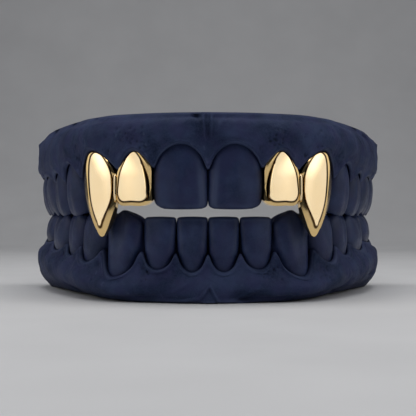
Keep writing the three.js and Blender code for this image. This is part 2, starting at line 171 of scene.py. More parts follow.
def shade(mesh, sharpOver=None):
    mesh.polygons.foreach_set("use_smooth", [True] * len(mesh.polygons))
    if sharpOver is not None:
        mesh.set_sharp_from_angle(angle=math.radians(sharpOver))
    mesh.update()


# materials
def startMaterial(name):
    material = bpy.data.materials.new(name)
    material.use_nodes = True
    nodes, links = material.node_tree.nodes, material.node_tree.links
    surface = nodes["Principled BSDF"]
    place = nodes.new("ShaderNodeTexCoord")
    return material, nodes, links, surface, place.outputs["Object"]


def cloud(nodes, links, place, scale, detail=3, rough=0.55):
    texture = nodes.new("ShaderNodeTexNoise")
    texture.inputs["Scale"].default_value = scale
    texture.inputs["Detail"].default_value = detail
    texture.inputs["Roughness"].default_value = rough
    links.new(place, texture.inputs["Vector"])
    return texture.outputs["Fac"]


def spread(nodes, links, value, low, high, toLow, toHigh):
    step = nodes.new("ShaderNodeMapRange")
    step.inputs["From Min"].default_value, step.inputs["From Max"].default_value = low, high
    step.inputs["To Min"].default_value, step.inputs["To Max"].default_value = toLow, toHigh
    links.new(value, step.inputs["Value"])
    return step.outputs["Result"]


def blendColours(nodes, links, share, a, b):
    step = nodes.new("ShaderNodeMix")
    step.data_type = "RGBA"
    for socket, colour in ((step.inputs[6], a), (step.inputs[7], b)):
        if isinstance(colour, tuple):
            socket.default_value = (*colour, 1)
        else:
            links.new(colour, socket)
    links.new(share, step.inputs[0])
    return step.outputs[2]


def paintOver(nodes, links, colour, over, value, most, low=0, high=1):
    # lays a colour over another where a value goes from low to high
    return blendColours(nodes, links, spread(nodes, links, value, low, high, 0, most), colour, over)


def readMark(nodes, name):  # a value that was marked on the vertices
    mark = nodes.new("ShaderNodeAttribute")
    mark.attribute_name = name
    return mark.outputs["Fac"]


def addBump(nodes, links, height, strength, depth, under=None):
    bump = nodes.new("ShaderNodeBump")
    bump.inputs["Strength"].default_value = strength
    bump.inputs["Distance"].default_value = depth
    links.new(height, bump.inputs["Height"])
    if under is not None:
        links.new(under, bump.inputs["Normal"])
    return bump.outputs["Normal"]


# what the gum's and the teeth's resin have in common
castFinish = {
    "patchRange": (0.36, 0.64), "tintRange": (0.4, 0.62), "tintShare": 0.45,
    "speckScale": 3800, "speckRange": (0.35, 0.65), "speckShare": 0.3,
    # pointiness lightens edges, partly wear and partly painted highlight, and darkens hollows as painted
    # shade; ambient occlusion darkens creases as painted shade
    "wearAndHighlightEdge": (0.53, 0.62), "wearAndHighlightEdgeShare": 0.4, "paintedShadeEdge": (0.485, 0.42), "paintedShadeShare": 0.6,
    "creaseShadeRange": (0.75, 0.25), "creaseShadeShare": 0.9, "creaseShadeSamples": 6,
    "roughScale": 900, "roughRange": (0.3, 0.7), "smoother": 0.06, "rougher": 0.08, "ior": 1.5,
    "grainScale": 4200, "grainDepth": 0.0001, "waveScale": 950, "waveDepth": 0.00015, "waveShare": 0.8,
}


def makeResin(name, look):
    material, nodes, links, surface, place = startMaterial(name)
    finish = castFinish
    patchCloud = cloud(nodes, links, place, look["patchScale"], 4)
    tintCloud = cloud(nodes, links, place, look["tintScale"], 2)
    speckCloud = cloud(nodes, links, place, finish["speckScale"], 2)
    patches = spread(nodes, links, patchCloud, *finish["patchRange"], 0, 1)
    tints = spread(nodes, links, tintCloud, *finish["tintRange"], 0, 1)
    specks = spread(nodes, links, speckCloud, *finish["speckRange"], 0, 1)
    edges = nodes.new("ShaderNodeNewGeometry").outputs["Pointiness"]
    colour = blendColours(nodes, links, patches, look["deep"], look["pale"])
    colour = paintOver(nodes, links, colour, look["speck"], specks, finish["speckShare"])
    colour = paintOver(nodes, links, colour, look["violet"], tints, finish["tintShare"])
    # partly rubbed wear, partly painted highlight: the marked lines and ridges are lightened
    colour = paintOver(nodes, links, colour, look["wearAndHighlightColour"], readMark(nodes, "rubbedAndHighlight"), look["wearAndHighlightAmount"])
    wearAndHighlightMost = look["wearAndHighlightAmount"] * finish["wearAndHighlightEdgeShare"]
    # partly wear, partly painted highlight: edges that pointiness finds are lightened
    colour = paintOver(nodes, links, colour, look["wearAndHighlightColour"], edges, wearAndHighlightMost, *finish["wearAndHighlightEdge"])
    # painted shade: hollows that pointiness finds are darkened towards a near-black blue
    colour = paintOver(nodes, links, colour, look["paintedShade"], edges, finish["paintedShadeShare"], *finish["paintedShadeEdge"])
    # painted shade: ambient occlusion darkens creases, the gum's sulcus lines and the gaps between teeth
    creaseShade = nodes.new("ShaderNodeAmbientOcclusion")
    creaseShade.samples = finish["creaseShadeSamples"]
    creaseShade.inputs["Distance"].default_value = look["creaseShadeReach"]
    colour = paintOver(nodes, links, colour, look["paintedShade"], creaseShade.outputs["AO"], finish["creaseShadeShare"],
                       *finish["creaseShadeRange"])
    links.new(colour, surface.inputs["Base Color"])
    roughCloud = cloud(nodes, links, place, finish["roughScale"], 3)
    rough = spread(nodes, links, roughCloud, *finish["roughRange"],
                   look["rough"] - finish["smoother"], look["rough"] + finish["rougher"])
    links.new(rough, surface.inputs["Roughness"])
    surface.inputs["IOR"].default_value = finish["ior"]
    surface.inputs["Specular IOR Level"].default_value = look["gloss"]
    grainCloud = cloud(nodes, links, place, finish["grainScale"], 4, 0.7)
    grain = addBump(nodes, links, grainCloud, look["grain"], finish["grainDepth"])
    waveCloud = cloud(nodes, links, place, finish["waveScale"], 3)
    waves = addBump(nodes, links, waveCloud, look["grain"] * finish["waveShare"], finish["waveDepth"], grain)
    links.new(waves, surface.inputs["Normal"])
    return material


def makeGold(name, look):
    material, nodes, links, surface, place = startMaterial(name)
    edges = nodes.new("ShaderNodeNewGeometry").outputs["Pointiness"]
    warmCloud = cloud(nodes, links, place, look["warmScale"], 2)
    patches = spread(nodes, links, warmCloud, *look["warmRange"], 0, 1)
    colour = blendColours(nodes, links, patches, look["gold"], look["warm"])
    # painted shade: hollows that pointiness finds are darkened towards a near-black brown
    colour = paintOver(nodes, links, colour, look["goldShade"], edges, look["hollowShadeShare"], *look["hollowShadeEdge"])
    # painted shade: facets behind the plates get a darker, more orange gold
    colour = blendColours(nodes, links, readMark(nodes, "bevelShade"), colour, look["bevelShade"])
    # painted shade: the grooves between plate and rim are darkened almost to black
    colour = paintOver(nodes, links, colour, look["goldShade"], readMark(nodes, "groove"), look["grooveShadeShare"],
                       *look["grooveShadeRange"])
    links.new(colour, surface.inputs["Base Color"])
    roughCloud = cloud(nodes, links, place, look["roughScale"], 3)
    rough = spread(nodes, links, roughCloud, *look["roughRange"],
                   look["rough"] - look["smoother"], look["rough"] + look["rougher"])
    links.new(rough, surface.inputs["Roughness"])
    surface.inputs["Metallic"].default_value = 1
    polishCloud = cloud(nodes, links, place, look["polishScale"], 2)
    polish = addBump(nodes, links, polishCloud, look["polish"], look["polishDepth"])
    links.new(polish, surface.inputs["Normal"])
    return material


# in both looks the darkest colour is painted shade for hollows and creases, the lightest one is partly rubbed
# wear and partly painted highlight, and the last value is how far the painted occlusion reaches
gumLook = {"deep": (0.003, 0.010, 0.037), "pale": (0.028, 0.043, 0.103), "violet": (0.020, 0.019, 0.071),
           "speck": (0.036, 0.052, 0.112), "wearAndHighlightColour": (0.073, 0.096, 0.176), "paintedShade": (0.002, 0.004, 0.014),
           "patchScale": 170, "tintScale": 330, "rough": 0.6, "gloss": 0.16, "grain": 1.0, "wearAndHighlightAmount": 0.6,
           "creaseShadeReach": 0.0011}
toothLook = {"deep": (0.006, 0.014, 0.048), "pale": (0.023, 0.036, 0.095), "violet": (0.017, 0.017, 0.064),
             "speck": (0.026, 0.039, 0.086), "wearAndHighlightColour": (0.049, 0.066, 0.127), "paintedShade": (0.002, 0.004, 0.014),
             "patchScale": 260, "tintScale": 380, "rough": 0.4, "gloss": 0.22, "grain": 0.5, "wearAndHighlightAmount": 0.6,
             "creaseShadeReach": 0.0009}
# the near-black brown is painted shade for the gold's hollows and grooves, and the orange gold is painted
# shade for the facets behind the plates
goldLook = {"gold": (1.0, 0.79, 0.49), "warm": (0.98, 0.75, 0.44), "goldShade": (0.055, 0.022, 0.006),
            "bevelShade": (0.90, 0.64, 0.29), "warmScale": 260, "warmRange": (0.35, 0.65),
            "hollowShadeShare": 0.7, "hollowShadeEdge": (0.47, 0.38), "grooveShadeShare": 0.97, "grooveShadeRange": (0.05, 0.9),
            "rough": 0.08, "roughScale": 700, "roughRange": (0.3, 0.7), "smoother": 0.02, "rougher": 0.03,
            "polish": 0.04, "polishScale": 2600, "polishDepth": 0.00003}
gumResin = makeResin("castGumResin", gumLook)
toothResin = makeResin("castToothResin", toothLook)
polishedGold = makeGold("polishedGold", goldLook)
print("materials made")

# the two jaws: arch lines and tooth sizes in mm, heights measured away from the bite
toothColumns = ("name", "width", "front", "behind", "tip", "gum", "papilla", "lean", "eminence", "point")
upperJaw = {
    "name": "upper", "up": 1, "height": 16.3, "halfWidth": 28.3, "depth": 29.5, "power": 3.5, "setBack": 0,
    "midPapilla": 7.0, "bulge": (0.85, 1.1, 1.05, 0.85, 0.7), "lean": (0.6, 2.4, 3.8, 2.0, 0.0),
    "lip": 0.24, "roll": 0.3, "valley": 0.3, "baseDrop": (0, 0, 0.05, 0.65, 2.3),
    "teeth": [
        ("central", 8.5, 1.7, 4.4, 1.0, 11.25, 7.2, 0, 0.4, 0.25),
        ("lateral", 6.6, 1.4, 3.9, 2.6, 10.25, 6.9, -0.3, 0.45, 1.0),
        ("canine", 7.4, 2.0, 4.6, 1.4, 10.45, 5.8, 0, 0.75, 0.85),
        ("premolar_1", 6.9, 2.5, 5.6, -0.2, 8.7, 5.4, 0, 0.2, 0.7),
        ("premolar_2", 6.9, 2.6, 5.8, -0.2, 7.4, 5.6, 0, 0.12, 0.5),
        ("molar_1", 10.2, 2.7, 7.2, -0.15, 7.1, 6.0, 0, 0.12, 0.3),
        ("molar_2", 9.4, 2.5, 7.0, -0.15, 7.2, 6.6, 0, 0.1, 0.3),
    ],
}
lowerJaw = {
    "name": "lower", "up": -1, "height": 14.2, "halfWidth": 26.6, "depth": 25.5, "power": 3.4, "setBack": 2.5,
    "midPapilla": 5.9, "bulge": (1.6, 1.6, 1.55, 1.5, 1.4), "lean": (0.0, 2.3, 4.0, 3.8, 2.5),
    "lip": 0.3, "roll": 0.34, "valley": 0.35, "baseDrop": (0, 0.1, 0.5, 0.4, 0),
    "teeth": [
        ("central", 5.1, 1.5, 3.6, 0.35, 9.2, 5.9, 0, 0.25, 0.05),
        ("lateral", 5.3, 1.5, 3.8, 0.35, 8.8, 5.7, 0.3, 0.25, 0.05),
        ("canine", 6.9, 2.0, 4.4, -0.7, 10.1, 5.4, 1.3, 0.55, 0.1),
        ("premolar_1", 6.8, 2.3, 4.9, -0.4, 7.9, 5.1, 0.7, 0.3, 0.4),
        ("premolar_2", 6.8, 2.3, 5.2, -0.4, 7.0, 5.0, 0.5, 0.25, 0.4),
        ("molar_1", 10.9, 2.9, 6.8, -0.35, 6.4, 4.8, 0, 0.25, 0.3),
        ("molar_2", 10.1, 3.0, 6.8, -0.35, 5.2, 3.9, 0, 0.2, 0.3),
    ],
}
capSpace = 1.65                             # a capped tooth is narrower by the cap round it
capRoom = {"lateral": 0.85, "canine": 0.35}  # and the gum lip stands out to meet the cap
capNeck = {"lateral": -0.3, "canine": 0}    # its gum line is highest a little nearer the midline
capPapilla = 1.3                            # and the gum's point between the two caps lies nearer it too


def layOutJaw(jaw):
    x = np.linspace(0, 1.4, 561) * jaw["halfWidth"]
    y = jaw["setBack"] + jaw["depth"] * (x / jaw["halfWidth"]) ** jaw["power"]
    run = np.concatenate([[0], np.cumsum(np.hypot(np.diff(x), np.diff(y)))])
    jaw["line"] = (run, x, y, np.arctan2(np.gradient(y), np.gradient(x)))
    jaw["teeth"] = [dict(zip(toothColumns, row)) for row in jaw["teeth"]]
    start, before = 0, jaw["midPapilla"]
    for tooth in jaw["teeth"]:
        tooth.update(start=start, end=start + tooth["width"],
                     centre=start + tooth["width"] / 2, before=before)
        tooth["neck"] = tooth["centre"] + tooth["lean"]
        start, before = tooth["end"], tooth["papilla"]
        capped = jaw["up"] > 0 and tooth["name"] in ("lateral", "canine")
        tooth["crownWidth"] = tooth["width"] - (capSpace if capped else 0)
        tooth["capped"] = capped
        tooth["capRoom"] = capRoom[tooth["name"]] if capped else 0
        tooth["neck"] += capNeck[tooth["name"]] if capped else 0
        tooth["form"] = tooth["name"].split("_")[0]
    for near, far in zip(jaw["teeth"], jaw["teeth"][1:]):
        if near["capped"] and far["capped"]:
            near["end"] = far["start"] = near["end"] - capPapilla
    jaw["length"] = start


def onArch(jaw, distance):
    run, x, y, turn = jaw["line"]
    side = np.where(np.asarray(distance) < 0, -1, 1)
    away = np.abs(distance)
    return side * np.interp(away, run, x), np.interp(away, run, y), side * np.interp(away, run, turn)


def inFrame(jaw, x, y, height):  # arch coordinates in mm to the frame in metres
    z = biteHeight + jaw["up"] * height
    return np.stack(np.broadcast_arrays(x * mm, (y + archFront) * mm, z * mm), axis=-1)


for jaw in (upperJaw, lowerJaw):
    layOutJaw(jaw)

# crowns: sizes from root (rise below 0) over the neck (0) to the tip (1), as shares of the tooth's own.
# the streaks are lighter ridges on the face, partly rubbed wear and partly painted highlight: where across
# it, half width and strength; below 0 is near the midline
crownColumns = ("rise", "near", "far", "front", "behind")
crowns = {
    "central": {"rows": [(-0.22, 0.66, 0.64, 0.62, 0.9), (0, 0.84, 0.84, 0.84, 0.96),
                         (0.16, 0.93, 0.96, 0.95, 0.96), (0.33, 0.98, 1.03, 1, 0.88),
                         (0.47, 0.995, 1.06, 1, 0.7), (0.66, 1.0, 1.075, 0.95, 0.44),
                         (0.84, 1.0, 1.04, 0.84, 0.22), (0.93, 0.985, 0.96, 0.76, 0.12),
                         (0.97, 0.94, 0.84, 0.7, 0.06), (1, 0.78, 0.66, 0.58, 0)],
                "cusps": 0, "valley": 0, "pit": -0.012, "square": (2.3, 3.1), "groove": 0.05, "lobes": 0.16,
                "rubbedSheenStreaks": [(-0.82, 0.12, 1.3), (0.62, 0.3, 0.55)], "edgeWearAndHighlight": 0.25},
    "canine": {"rows": [(-0.22, 0.62, 0.62, 0.6, 0.9), (0, 0.72, 0.72, 0.86, 0.96),
                        (0.16, 0.83, 0.83, 0.97, 0.96), (0.33, 0.92, 0.92, 1.02, 0.88),
                        (0.55, 0.99, 0.99, 1.0, 0.6), (0.72, 1.0, 1.0, 0.92, 0.38),
                        (0.82, 0.93, 0.96, 0.84, 0.25), (0.9, 0.7, 0.76, 0.74, 0.16),
                        (0.96, 0.38, 0.4, 0.62, 0.07), (1, 0.14, 0.14, 0.5, 0)],
               "cusps": 0, "valley": 0, "pit": -0.01, "square": (2.3, 2.3), "groove": 0, "lobes": -0.1,
               "rubbedSheenStreaks": [(-0.1, 0.3, 0.45)], "edgeWearAndHighlight": 0.4},
    "premolar": {"rows": [(-0.22, 0.64, 0.64, 0.62, 0.8), (0, 0.76, 0.76, 0.86, 0.92),
                          (0.3, 0.93, 0.93, 1, 1), (0.58, 1, 1, 0.97, 0.98),
                          (0.8, 0.97, 0.97, 0.84, 0.9), (0.93, 0.92, 0.92, 0.68, 0.76),
                          (1, 0.79, 0.79, 0.5, 0.62)],
                 "cusps": 2, "valley": 0.06, "pit": 0.26, "square": (2.3, 2.2), "groove": 0, "lobes": -0.08,
                 "rubbedSheenStreaks": [], "edgeWearAndHighlight": 0.2},
    "molar": {"rows": [(-0.22, 0.78, 0.78, 0.7, 0.82), (0, 0.86, 0.86, 0.88, 0.92),
                       (0.3, 0.97, 0.97, 1, 1), (0.6, 1, 1, 0.92, 0.97), (0.82, 0.97, 0.97, 0.77, 0.9),
                       (0.94, 0.87, 0.87, 0.61, 0.82), (1, 0.73, 0.73, 0.49, 0.73)],
              "cusps": 4, "valley": 0.08, "pit": 0.3, "square": (2.7, 2.7), "groove": 0.3, "lobes": 0,
              "rubbedSheenStreaks": [], "edgeWearAndHighlight": 0.2},
}
crowns["lateral"] = crowns["central"]
lowerCanine = {**crowns["canine"], "rows": [
    (-0.22, 0.6, 0.52, 0.6, 0.9), (0, 0.7, 0.62, 0.86, 0.96), (0.16, 0.8, 0.72, 0.97, 0.96),
    (0.33, 0.9, 0.8, 1.02, 0.88), (0.55, 0.99, 0.88, 1.0, 0.6), (0.72, 1.0, 0.95, 0.92, 0.38),
    (0.82, 0.95, 0.95, 0.84, 0.25), (0.9, 0.72, 0.78, 0.74, 0.16), (0.96, 0.4, 0.4, 0.62, 0.07),
    (1, 0.14, 0.14, 0.5, 0)]}
lowerIncisor = {**crowns["central"], "square": (2.25, 2.6), "lobes": 0.02,
                "rubbedSheenStreaks": [(0, 0.4, 0.35)], "edgeWearAndHighlight": 0.8, "rows": [
    (-0.22, 0.6, 0.6, 0.62, 0.9), (0, 0.74, 0.72, 0.86, 0.96), (0.16, 0.84, 0.82, 0.96, 0.96),
    (0.33, 0.91, 0.9, 1, 0.88), (0.5, 0.95, 0.95, 0.99, 0.7), (0.7, 0.985, 0.985, 0.93, 0.42),
    (0.88, 1.0, 1.0, 0.8, 0.2), (0.95, 0.99, 0.98, 0.73, 0.12), (0.985, 0.95, 0.93, 0.66, 0.05),
    (1, 0.87, 0.84, 0.55, 0)]}
lowerCrowns = {"central": lowerIncisor, "lateral": lowerIncisor, "canine": lowerCanine}
crownGrid = {"around": 80, "rises": 46, "topRings": 12, "backRound": 2.15, "backTaper": 0.22,
             "contactAt": 0.42, "contactReach": 0.34, "contactOver": 0.05, "edgeWearAndHighlightReach": 0.04}


def crownPoints(jaw, tooth, grow=0):
    shape = (lowerCrowns if jaw["up"] < 0 else crowns).get(tooth["form"], crowns[tooth["form"]])
    rows = np.array(shape["rows"])
    bend = np.linspace(0, 1, crownGrid["rises"]) ** 0.85
    rise = mix(rows[0, 0], 1, bend)[:, None]
    shares = dict(zip(crownColumns, rows.T))
    near, far, front, behind = (easeCurve(shares["rise"], shares[key], rise) for key in crownColumns[1:])
    angle = np.arange(crownGrid["around"]) * 2 * math.pi / crownGrid["around"]
    c, s = np.cos(angle)[None], np.sin(angle)[None]
    square = mix(shape["square"][0], shape["square"][1], np.clip(rise, 0, 1))
    power = 2 / np.where(s > 0, crownGrid["backRound"], square)
    out = np.abs(s) ** power
    across = np.sign(c) * np.abs(c) ** power * np.where(s > 0, 1 - crownGrid["backTaper"] * out, 1)
    crown = tooth["gum"] - tooth["tip"]
    halfWidth = tooth["crownWidth"] / 2
    x = (halfWidth * np.where(c > 0, far, near) + grow) * across + tooth["lean"] * (1 - rise) ** 2
    if not tooth["capped"]:     # neighbours touch a little behind their faces
        flat = np.exp(-((s - crownGrid["contactAt"]) / crownGrid["contactReach"]) ** 4)
        flat = flat * ramp(rise - 0.08, 0.2) * ramp(0.99 - rise, 0.12) * (np.abs(c) > 0.3)
        x = mix(x, np.sign(c) * (halfWidth + crownGrid["contactOver"]), flat)
    y = np.where(s > 0, (tooth["behind"] * behind + grow) * out, -(tooth["front"] * front + grow) * out)
    faceShare = np.clip(-s, 0, 1) ** 2 * ramp(rise - 0.15, 0.3) * ramp(1.04 - rise, 0.2)
    y = y - shape["lobes"] * np.cos(across * 3 * math.pi * 0.8) * faceShare
    if shape["cusps"] == 4:     # groove down the cheek side between two cusps
        y = y + shape["groove"] * bell(across / 0.13) * np.clip(-s, 0, 1) * ramp(rise - 0.35, 0.4)
        y = y - 0.7 * shape["groove"] * bell(across / 0.12) * np.clip(s, 0, 1) * ramp(rise - 0.5, 0.4)
    dip = (1 + np.cos(shape["cusps"] * angle)) / 2 * shape["valley"] * crown if shape["cusps"] else 0 * angle
    height = tooth["gum"] - crown * rise + dip[None] * ramp(rise - 0.62, 0.38) ** 1.6
    height = height - grow * (rise > 0.97)
    x, y, height = np.broadcast_arrays(x, y, height)
    onFace = np.clip(-1.6 * s, 0, 1) * ramp(rise - 0.1, 0.5)
    # the biting edge is painted lighter: partly wear, partly painted highlight
    rubbedAndHighlight = shape["edgeWearAndHighlight"] * bell((rise - 0.97) / crownGrid["edgeWearAndHighlightReach"]) + 0 * across
    for where, half, strength in shape["rubbedSheenStreaks"]:  # lighter along the ridges: partly rubbed wear, partly painted highlight
        rubbedAndHighlight = rubbedAndHighlight + strength * onFace * bell((across - where * mix(0.75, 1, rise)) / half)
    # biting surface: rings that close towards the pit
    middle = np.array([0, (tooth["behind"] * rows[-1, 4] - tooth["front"] * rows[-1, 3]) / 2])
    floorHeight = tooth["tip"] + shape["pit"] * crown - grow
    shrink = np.linspace(1, 0, crownGrid["topRings"] + 1)[1:-1, None]
    topX = mix(middle[0], x[-1], shrink)
    topY = mix(middle[1], y[-1], shrink)
    slope = shrink ** 1.3 if shape["cusps"] else shrink ** 2
    topHeight = mix(floorHeight, height[-1], slope)
    if shape["cusps"]:
        ridges = (1 - np.cos(shape["cusps"] * angle)) / 2
        topHeight = topHeight - 0.16 * crown * shape["pit"] * ridges[None] * np.sin(math.pi * shrink) ** 0.8
    x = np.concatenate([x, topX, [[middle[0]] * x.shape[1]]])
    y = np.concatenate([y, topY, [[middle[1]] * y.shape[1]]])
    height = np.concatenate([height, topHeight, [[floorHeight] * height.shape[1]]])
    rubbedAndHighlight = np.concatenate([rubbedAndHighlight, 0 * topHeight, 0 * height[:1]])
    return x, y, height, rubbedAndHighlight


def toothPiece(jaw, tooth, side, name, grow=0, material=toothResin):
    x, y, height, rubbedAndHighlight = crownPoints(jaw, tooth, grow)
    placeX, placeY, turn = onArch(jaw, tooth["centre"])
    worldX = side * (placeX + math.cos(turn) * x - math.sin(turn) * y)
    worldY = placeY + math.sin(turn) * x + math.cos(turn) * y
    grid = inFrame(jaw, worldX, worldY, height)
    rows, columns = grid.shape[:2]
    points = grid[:-1].reshape(-1, 3)
    points = np.concatenate([points, grid[0].mean(axis=0)[None], grid[-1, :1]])
    faces = ringFaces(rows - 1, columns, len(points) - 2, len(points) - 1)
    piece = makePiece(name, points, faces, material)
    mark = piece.data.attributes.new("rubbedAndHighlight", "FLOAT", "POINT")
    mark.data.foreach_set("value", np.concatenate([rubbedAndHighlight[:-1].ravel(), [0, 0]]))
    return piece


for jaw in (upperJaw, lowerJaw):
    for tooth in jaw["teeth"]:
        for side, sideName in ((1, "right"), (-1, "left")):
            node = f"{jaw['name']}_{tooth['name']}_{sideName}"
            crown = toothPiece(jaw, tooth, side, node + "_crown")
            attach(crown, "root")
            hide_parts(node)
print("teeth made")

# gums: a section swept along the arch, with a rolled lip round every tooth
gumShape = {"step": 0.13, "arc": 0.92, "hollow": 0.25, "ridge": (8.6, 10.0), "heel": 4.2,
            "innerEdge": 0.45, "sulcus": 0.3, "root": 0.9, "leanAt": (0, 0.25, 0.5, 0.75, 1),
            "lipOut": 0.28, "lipSwell": 1.8, "lipUp": 0.48, "cornerUp": 0.22, "cornerRound": 0.16,
            "heelSteps": 26, "heelRound": 0.94, "heelShrink": 0.42, "endShrink": 0.96, "endSteps": 9,
            "endSwell": 0.12, "sharpOver": 60, "boxEase": 0.0003,  # boxEase in metres, sharpOver in degrees
            "counts": [2, 3, 5, 5, 6, 6, 8, 8, 5, 4, 2, 5, 8, 7, 6, 6, 4, 4, 3, 2, 1], "outerRows": 11}
# places where the cast is chipped, pitted or creased: jaw, then along, height, half length, half height and
# depth in mm
castMarks = [
    ("upper", -1.9, 15.7, 0.7, 0.4, 0.5),
    ("upper", -40.0, 15.4, 1.8, 0.9, 0.9),
    ("upper", -30.5, 15.8, 0.9, 0.45, 0.6),
    ("upper", -20.5, 15.9, 0.8, 0.35, 0.5),
    ("upper", 37.0, 15.4, 1.9, 0.8, 0.8),
    ("upper", 40.0, 14.2, 1.2, 0.6, 0.8),
    ("upper", 45.0, 13.2, 0.8, 0.6, 0.8),
    ("upper", -8.9, 11.3, 0.25, 0.5, 0.15),
    ("upper", -19.5, 12.0, 0.3, 0.4, 0.15),
    ("upper", -22.3, 11.4, 0.25, 0.3, 0.15),
    ("upper", 9.4, 11.6, 0.3, 0.5, 0.2),
    ("upper", 8.0, 10.6, 0.2, 0.35, 0.15),
    ("lower", -29.5, 13.0, 0.6, 1.1, 0.8),
    ("lower", 27.0, 12.6, 0.9, 1.2, 0.5),
    ("lower", 5.4, 13.2, 1.9, 0.9, 0.7),
    ("lower", -24.9, 7.6, 0.25, 0.3, 0.3),
    ("lower", -31.0, 6.9, 0.3, 0.3, 0.3),
    ("lower", 27.0, 7.4, 0.35, 0.3, 0.3),
    ("lower", 42.0, 10.8, 2.4, 0.35, 0.5),
]
# fields of fine pits: jaw, along, height, reach along, reach up, how many
pitFields = [
    ("upper", -9.4, 11.2, 1.2, 1.8, 20), ("upper", 10.2, 11.8, 1.5, 1.8, 26),
    ("upper", -15.0, 9.8, 0.9, 1.5, 14), ("upper", 15.4, 9.6, 0.9, 1.4, 14),
    ("upper", -22.6, 9.4, 1.1, 1.8, 16), ("upper", 22.4, 9.6, 1.1, 1.6, 16),
    ("upper", -13.0, 12.8, 2.6, 1.4, 20), ("upper", 17.5, 12.6, 2.6, 1.4, 20),
    ("lower", -9.6, 8.8, 1.2, 1.3, 20), ("lower", 9.6, 9.0, 1.4, 1.4, 22),
    ("lower", 18.6, 9.2, 1.6, 1.4, 18), ("lower", -18.4, 9.4, 1.6, 1.4, 16),
]
pitSize = {"least": 0.13, "most": 0.24, "depth": 0.17, "scatter": 0.55}
# thin ridges, such as the frenum, and creases where the last value is below 0: jaw, along and height at both
# ends, half width and how proud in mm
castRidges = [
    ("upper", -0.75, 16.1, -0.5, 11.8, 0.22, 0.62),
    ("upper", 0.6, 16.1, 0.45, 12.0, 0.2, 0.62),
    ("upper", -2.4, 15.8, -1.2, 12.8, 0.35, 0.22),
    ("upper", 2.6, 15.6, 1.3, 12.6, 0.35, 0.18),
    ("lower", 0.32, 11.2, -1.25, 13.4, 0.22, 0.45),
    ("lower", -1.25, 13.4, -4.2, 13.9, 0.3, 0.3),
    ("lower", 0.32, 11.2, 1.65, 14.0, 0.24, 0.45),
    ("lower", -3.1, 11.0, -5.4, 12.4, 0.25, 0.22),
    ("lower", 7.8, 11.7, 3.9, 13.8, 0.35, 0.45),
    ("upper", 34.2, 15.6, 38.6, 14.2, 0.25, -0.6),
    ("upper", -37.0, 15.8, -40.6, 13.9, 0.22, -0.5),
    ("upper", -29.0, 16.1, -31.5, 15.2, 0.18, -0.35),
]


def gumTable(jaw, distance):  # what the teeth ask of the gum at each station
    teeth = jaw["teeth"]
    column = lambda key: np.array([tooth[key] for tooth in teeth])
    run = np.minimum(np.abs(distance), jaw["length"])
    i = np.clip(np.searchsorted(column("start"), run, side="right") - 1, 0, len(teeth) - 1)
    start, end, neck = column("start")[i], column("end")[i], column("neck")[i]
    before = run < neck
    share = np.where(before, (neck - run) / (neck - start), (run - neck) / (end - neck))
    papilla = np.where(before, column("before")[i], column("papilla")[i])
    arch = 1 - np.sqrt(1 - np.minimum(1, share / gumShape["arc"]) ** 2)
    drop = mix(arch, share ** 1.8, column("point")[i])
    edge = mix(column("gum")[i], papilla, drop)
    rounding = np.sqrt(np.clip(1 - share ** 2.6, 0, 1))
    face = column("front")[i] * 0.9 * rounding
    lipFace = column("front")[i] * (0.52 + 0.4 * rounding) + column("capRoom")[i]
    back = column("behind")[i] * (0.42 + 0.54 * rounding)
    smooth = lambda values, length: softened(values, max(1, round(length / gumShape["step"])))
    level = np.interp(run, column("neck"), column("gum"))     # the gum line without its dips between teeth
    return {"edge": smooth(edge, 0.2), "level": smooth(np.maximum(level, edge), 0.8),
            "papilla": smooth(papilla, 0.5), "drop": smooth(drop, 1.6),
            "face": smooth(face, 0.2), "lipFace": smooth(lipFace, 0.3),
            "back": smooth(back, 0.4), "front": smooth(column("front")[i], 1.5),
            "tooth": smooth(1 - share ** 5, 0.13), "open": smooth(1 - column("capped")[i], 0.5)}


